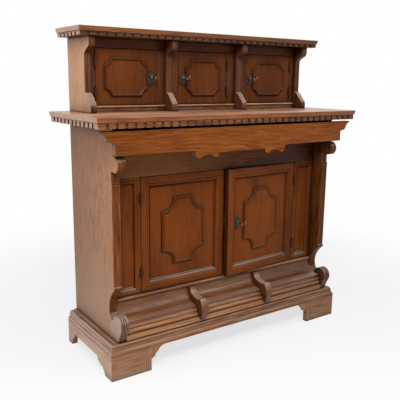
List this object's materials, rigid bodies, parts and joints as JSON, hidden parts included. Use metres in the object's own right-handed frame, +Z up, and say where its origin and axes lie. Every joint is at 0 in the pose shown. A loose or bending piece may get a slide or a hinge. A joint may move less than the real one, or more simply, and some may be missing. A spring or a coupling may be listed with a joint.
{
  "type": "credenza with hutch",
  "caption": "Renaissance-style wooden credenza: panelled cupboard with scrolled sides and a frieze drawer, on a bracket plinth, with a low hutch of locked doors on its counter.",
  "frame": {"origin": "on the floor, under the middle of the counter's width and depth", "axes": "+Z up, -Y out of the front, +X to the right seen from the front"},
  "size_m": [1.324, 0.463, 1.3478],
  "materials": {
    "wood_pale": "worn waxed wood, faded on the outer sides",
    "wood_brown": "satin orange-brown polish",
    "wood_red": "satin red-brown polish",
    "wood_raw": "unfinished inside wood",
    "iron_dark": "dark aged iron",
    "brass_aged": "aged brass"
  },
  "bodies": {
    "carcass": {"left_side_panel": "wood_pale", "right_side_panel": "wood_pale", "left_foot_volute": "wood_pale", "right_foot_volute": "wood_pale", "plinth_left_base": "wood_pale", "plinth_right_base": "wood_pale", "hutch_left_side": "wood_pale", "hutch_right_side": "wood_pale", "plinth_moulding": "wood_brown", "cupboard_floor": "wood_brown", "base_moulding": "wood_brown", "left_base_bracket": "wood_brown", "right_base_bracket": "wood_brown", "counter_top": "wood_brown", "counter_dentils": "wood_brown", "hutch_left_partition": "wood_brown", "hutch_right_partition": "wood_brown", "hutch_floor": "wood_brown", "hutch_top": "wood_brown", "hutch_dentils": "wood_brown", "frieze_rail": "wood_red", "left_stile_panel": "wood_red", "right_stile_panel": "wood_red", "hutch_face_frame": "wood_red", "lower_back": "wood_raw", "hutch_back": "wood_raw", "cupboard_shelf": "wood_raw", "drawer_dust_board": "wood_raw", "lower_left_door_hinge_pins": "iron_dark", "lower_right_door_hinge_pins": "iron_dark", "hutch_left_door_hinge_pins": "iron_dark", "hutch_middle_door_hinge_pins": "iron_dark", "hutch_right_door_hinge_pins": "iron_dark"},
    "frieze_drawer": {"drawer_front": "wood_brown", "drawer_box": "wood_raw", "drawer_bottom": "wood_raw"},
    "lower_left_door": {"lower_left_door_frame": "wood_red", "lower_left_door_panel": "wood_red", "lower_left_door_hinge_leaves": "iron_dark"},
    "lower_right_door": {"lower_right_door_frame": "wood_red", "lower_right_door_panel": "wood_red", "lower_right_door_hinge_leaves": "iron_dark", "lower_right_door_lock": "iron_dark"},
    "hutch_left_door": {"hutch_left_door": "wood_red", "hutch_left_door_hinge_leaves": "iron_dark", "hutch_left_door_lock": "iron_dark"},
    "hutch_middle_door": {"hutch_middle_door": "wood_red", "hutch_middle_door_hinge_leaves": "iron_dark", "hutch_middle_door_lock": "iron_dark"},
    "hutch_right_door": {"hutch_right_door": "wood_red", "hutch_right_door_hinge_leaves": "iron_dark", "hutch_right_door_lock": "iron_dark"},
    "lower_right_door_key": {"lower_right_door_key": "iron_dark"},
    "lower_right_door_bolt": {"lower_right_door_bolt": "brass_aged"},
    "hutch_left_door_key": {"hutch_left_door_key": "iron_dark"},
    "hutch_left_door_bolt": {"hutch_left_door_bolt": "brass_aged"},
    "hutch_middle_door_key": {"hutch_middle_door_key": "iron_dark"},
    "hutch_middle_door_bolt": {"hutch_middle_door_bolt": "brass_aged"},
    "hutch_right_door_key": {"hutch_right_door_key": "iron_dark"},
    "hutch_right_door_bolt": {"hutch_right_door_bolt": "brass_aged"}
  },
  "joints": [
    {"name": "drawer_slide", "type": "slide", "parent": "carcass", "child": "frieze_drawer", "axis": [0, -1, 0], "range_m": [0, 0.22]},
    {"name": "lower_left_door_hinge", "type": "hinge", "parent": "carcass", "child": "lower_left_door", "pos_m": [-0.4177, -0.0953, 0.2925], "axis": [0, 0, -1], "range_deg": [0, 95]},
    {"name": "lower_right_door_hinge", "type": "hinge", "parent": "carcass", "child": "lower_right_door", "pos_m": [0.4177, -0.0953, 0.2925], "axis": [0, 0, 1], "range_deg": [-4, 91]},
    {"name": "hutch_left_door_hinge", "type": "hinge", "parent": "carcass", "child": "hutch_left_door", "pos_m": [-0.5212, 0.0787, 1.0495], "axis": [0, 0, -1], "range_deg": [0, 95]},
    {"name": "hutch_middle_door_hinge", "type": "hinge", "parent": "carcass", "child": "hutch_middle_door", "pos_m": [0.1322, 0.0787, 1.0495], "axis": [0, 0, 1], "range_deg": [0, 95]},
    {"name": "hutch_right_door_hinge", "type": "hinge", "parent": "carcass", "child": "hutch_right_door", "pos_m": [0.5212, 0.0787, 1.0495], "axis": [0, 0, 1], "range_deg": [0, 95]},
    {"name": "lower_right_door_key_turn", "type": "hinge", "parent": "lower_right_door", "child": "lower_right_door_key", "pos_m": [0.06402, -0.11522, 0.5325], "axis": [0.0698, -0.9976, 0], "range_deg": [0, 90]},
    {"name": "lower_right_door_bolt_slide", "type": "slide", "parent": "lower_right_door", "child": "lower_right_door_bolt", "axis": [-0.9976, -0.0698, 0], "range_m": [0, 0.0141]},
    {"name": "hutch_left_door_key_turn", "type": "hinge", "parent": "hutch_left_door", "child": "hutch_left_door_key", "pos_m": [-0.2663, 0.0835, 1.16065], "axis": [0, 1, 0], "range_deg": [0, 90]},
    {"name": "hutch_left_door_bolt_slide", "type": "slide", "parent": "hutch_left_door", "child": "hutch_left_door_bolt", "axis": [1, 0, 0], "range_m": [0, 0.0141]},
    {"name": "hutch_middle_door_key_turn", "type": "hinge", "parent": "hutch_middle_door", "child": "hutch_middle_door_key", "pos_m": [-0.1097, 0.0835, 1.16065], "axis": [0, -1, 0], "range_deg": [0, 90]},
    {"name": "hutch_middle_door_bolt_slide", "type": "slide", "parent": "hutch_middle_door", "child": "hutch_middle_door_bolt", "axis": [-1, 0, 0], "range_m": [0, 0.0141]},
    {"name": "hutch_right_door_key_turn", "type": "hinge", "parent": "hutch_right_door", "child": "hutch_right_door_key", "pos_m": [0.2663, 0.0835, 1.16065], "axis": [0, -1, 0], "range_deg": [0, 90]},
    {"name": "hutch_right_door_bolt_slide", "type": "slide", "parent": "hutch_right_door", "child": "hutch_right_door_bolt", "axis": [-1, 0, 0], "range_m": [0, 0.0141]}
  ],
  "couplings": [
    {"joint": "lower_right_door_key_turn", "follows": "lower_right_door_bolt_slide", "rad_per_m": 111.11},
    {"joint": "hutch_left_door_key_turn", "follows": "hutch_left_door_bolt_slide", "rad_per_m": 111.11},
    {"joint": "hutch_middle_door_key_turn", "follows": "hutch_middle_door_bolt_slide", "rad_per_m": 111.11},
    {"joint": "hutch_right_door_key_turn", "follows": "hutch_right_door_bolt_slide", "rad_per_m": 111.11}
  ]
}
